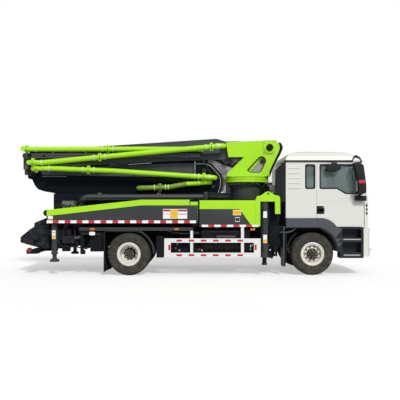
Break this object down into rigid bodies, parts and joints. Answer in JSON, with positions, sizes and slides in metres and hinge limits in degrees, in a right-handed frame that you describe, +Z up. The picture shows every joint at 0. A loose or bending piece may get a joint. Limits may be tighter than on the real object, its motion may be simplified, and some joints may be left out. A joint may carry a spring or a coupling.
{
  "type": "concrete pump truck",
  "caption": "Two-axle truck with a folded placing boom on a slewing column, a rear hopper, swing-out rear legs, sliding front legs and a forward-control cab.",
  "frame": {"origin": "on the ground under the middle of the vehicle's bounding box", "axes": "+X forwards along the vehicle, +Y to its left, +Z up"},
  "size_m": [9.28, 2.94, 3.6238],
  "materials": {
    "green_paint": "satin",
    "grey_paint": "satin",
    "chassis_paint": "satin",
    "cab_paint": "gloss",
    "white_paint": "satin",
    "black_plastic": "matte",
    "grey_plastic": "matte",
    "tyre_rubber": "matte",
    "wheel_steel": "satin",
    "bare_steel": "brushed",
    "cast_parts": "matte",
    "clear_glass": "gloss",
    "lamp_glass": "gloss",
    "cab_trim": "matte"
  },
  "bodies": {
    "chassis": {"chassis_frame": "chassis_paint", "engine": "cast_parts", "front_axle": "cast_parts", "rear_axle": "cast_parts", "deck_frame": "grey_paint", "rear_mudguards": "grey_plastic", "side_guards": "white_paint", "side_tanks": "chassis_paint", "cab_floor": "cab_paint", "cab_back": "cab_paint", "cab_quarter_panels": "cab_paint", "cab_front": "cab_paint", "cab_roof": "cab_paint", "cab_glass": "clear_glass", "cab_interior": "cab_trim", "bumper": "cab_paint", "lamps": "lamp_glass", "grille": "black_plastic", "front_wings": "grey_plastic", "air_intake": "black_plastic", "pedestal": "grey_paint", "front_stabiliser_housing": "green_paint", "side_boxes": "green_paint", "water_tank": "chassis_paint", "pump_cylinders": "grey_paint", "deck_boxes": "grey_paint", "hopper": "chassis_paint", "deck_pipe": "grey_paint"},
    "hopper_grid": {"hopper_grid": "chassis_paint"},
    "turret": {"turret": "green_paint"},
    "boom": {"arm_1": "grey_paint", "arm_2": "grey_paint", "arm_3": "grey_paint", "boom_pipes": "green_paint"},
    "tip_arm": {"arm_4": "grey_paint", "arm_4_pipe": "green_paint"},
    "lift_cylinder": {"lift_cylinder": "grey_paint"},
    "lift_rod": {"lift_rod": "bare_steel"},
    "knuckle_left": {"steering_knuckle_left": "cast_parts"},
    "front_wheel_left": {"front_rim_left": "wheel_steel", "front_tyre_left": "tyre_rubber"},
    "rear_wheels_left": {"rear_rims_left": "wheel_steel", "rear_tyres_left": "tyre_rubber"},
    "door_left": {"door_left": "cab_paint", "door_glass_left": "clear_glass"},
    "swing_arm_left": {"rear_swing_arm_left": "green_paint"},
    "rear_jack_left": {"rear_jack_left": "bare_steel"},
    "front_beam_left": {"front_beam_left": "green_paint"},
    "front_jack_left": {"front_jack_left": "bare_steel"},
    "knuckle_right": {"steering_knuckle_right": "cast_parts"},
    "front_wheel_right": {"front_rim_right": "wheel_steel", "front_tyre_right": "tyre_rubber"},
    "rear_wheels_right": {"rear_rims_right": "wheel_steel", "rear_tyres_right": "tyre_rubber"},
    "door_right": {"door_right": "cab_paint", "door_glass_right": "clear_glass"},
    "swing_arm_right": {"rear_swing_arm_right": "green_paint"},
    "rear_jack_right": {"rear_jack_right": "bare_steel"},
    "front_beam_right": {"front_beam_right": "green_paint"},
    "front_jack_right": {"front_jack_right": "bare_steel"}
  },
  "joints": [
    {"name": "steer_left", "type": "hinge", "parent": "chassis", "child": "knuckle_left", "pos_m": [3.08, 0.86, 0.545], "axis": [0, 0, 1], "range_deg": [-35, 35]},
    {"name": "front_wheel_spin_left", "type": "hinge", "parent": "knuckle_left", "child": "front_wheel_left", "pos_m": [3.08, 1.04, 0.545], "axis": [0, 1, 0], "continuous": true},
    {"name": "rear_wheel_spin_left", "type": "hinge", "parent": "chassis", "child": "rear_wheels_left", "pos_m": [-1.62, 0.93, 0.545], "axis": [0, 1, 0], "continuous": true},
    {"name": "door_left_open", "type": "hinge", "parent": "chassis", "child": "door_left", "pos_m": [4.394, 1.194, 1.9], "axis": [0, 0, -1], "range_deg": [0, 70]},
    {"name": "swing_arm_left_out", "type": "hinge", "parent": "chassis", "child": "swing_arm_left", "pos_m": [0.075, 1.17, 1.6], "axis": [0, 0, -1], "range_deg": [0, 60]},
    {"name": "rear_jack_left_down", "type": "slide", "parent": "swing_arm_left", "child": "rear_jack_left", "axis": [0, 0, -1], "range_m": [0, 0.55]},
    {"name": "front_beam_left_out", "type": "slide", "parent": "chassis", "child": "front_beam_left", "axis": [0, 1, 0], "range_m": [0, 1.5]},
    {"name": "front_jack_left_down", "type": "slide", "parent": "front_beam_left", "child": "front_jack_left", "axis": [0, 0, -1], "range_m": [0, 0.55]},
    {"name": "steer_right", "type": "hinge", "parent": "chassis", "child": "knuckle_right", "pos_m": [3.08, -0.86, 0.545], "axis": [0, 0, 1], "range_deg": [-35, 35]},
    {"name": "front_wheel_spin_right", "type": "hinge", "parent": "knuckle_right", "child": "front_wheel_right", "pos_m": [3.08, -1.04, 0.545], "axis": [0, 1, 0], "continuous": true},
    {"name": "rear_wheel_spin_right", "type": "hinge", "parent": "chassis", "child": "rear_wheels_right", "pos_m": [-1.62, -0.93, 0.545], "axis": [0, 1, 0], "continuous": true},
    {"name": "door_right_open", "type": "hinge", "parent": "chassis", "child": "door_right", "pos_m": [4.394, -1.194, 1.9], "axis": [0, 0, 1], "range_deg": [0, 70]},
    {"name": "swing_arm_right_out", "type": "hinge", "parent": "chassis", "child": "swing_arm_right", "pos_m": [0.075, -1.17, 1.6], "axis": [0, 0, 1], "range_deg": [0, 60]},
    {"name": "rear_jack_right_down", "type": "slide", "parent": "swing_arm_right", "child": "rear_jack_right", "axis": [0, 0, -1], "range_m": [0, 0.55]},
    {"name": "front_beam_right_out", "type": "slide", "parent": "chassis", "child": "front_beam_right", "axis": [0, -1, 0], "range_m": [0, 1.5]},
    {"name": "front_jack_right_down", "type": "slide", "parent": "front_beam_right", "child": "front_jack_right", "axis": [0, 0, -1], "range_m": [0, 0.55]},
    {"name": "hopper_grid_open", "type": "hinge", "parent": "chassis", "child": "hopper_grid", "pos_m": [-3.84, 0, 1.345], "axis": [0, 1, 0], "range_deg": [0, 60]},
    {"name": "turret_slew", "type": "hinge", "parent": "chassis", "child": "turret", "pos_m": [1.502, 0, 2.42], "axis": [0, 0, 1], "range_deg": [-90, 90]},
    {"name": "boom_lift", "type": "hinge", "parent": "turret", "child": "boom", "pos_m": [2.09, 0, 3.362], "axis": [0, 1, 0], "range_deg": [0, 90]},
    {"name": "tip_arm_unfold", "type": "hinge", "parent": "boom", "child": "tip_arm", "pos_m": [-4.54, -0.372, 3.14], "axis": [0, -1, 0], "range_deg": [0, 180]},
    {"name": "lift_cylinder_swing", "type": "hinge", "parent": "turret", "child": "lift_cylinder", "pos_m": [1.9, 0, 2.68], "axis": [0, 1, 0], "range_deg": [0, 75]},
    {"name": "lift_rod_out", "type": "slide", "parent": "lift_cylinder", "child": "lift_rod", "axis": [-0.9397, 0, 0.3421], "range_m": [0, 0.85]}
  ],
  "couplings": [
    {"joint": "steer_left", "follows": "steer_right", "ratio": 1},
    {"joint": "lift_cylinder_swing", "follows": "boom_lift", "ratio": 0.7533},
    {"joint": "lift_rod_out", "follows": "boom_lift", "m_per_rad": 0.5093}
  ]
}
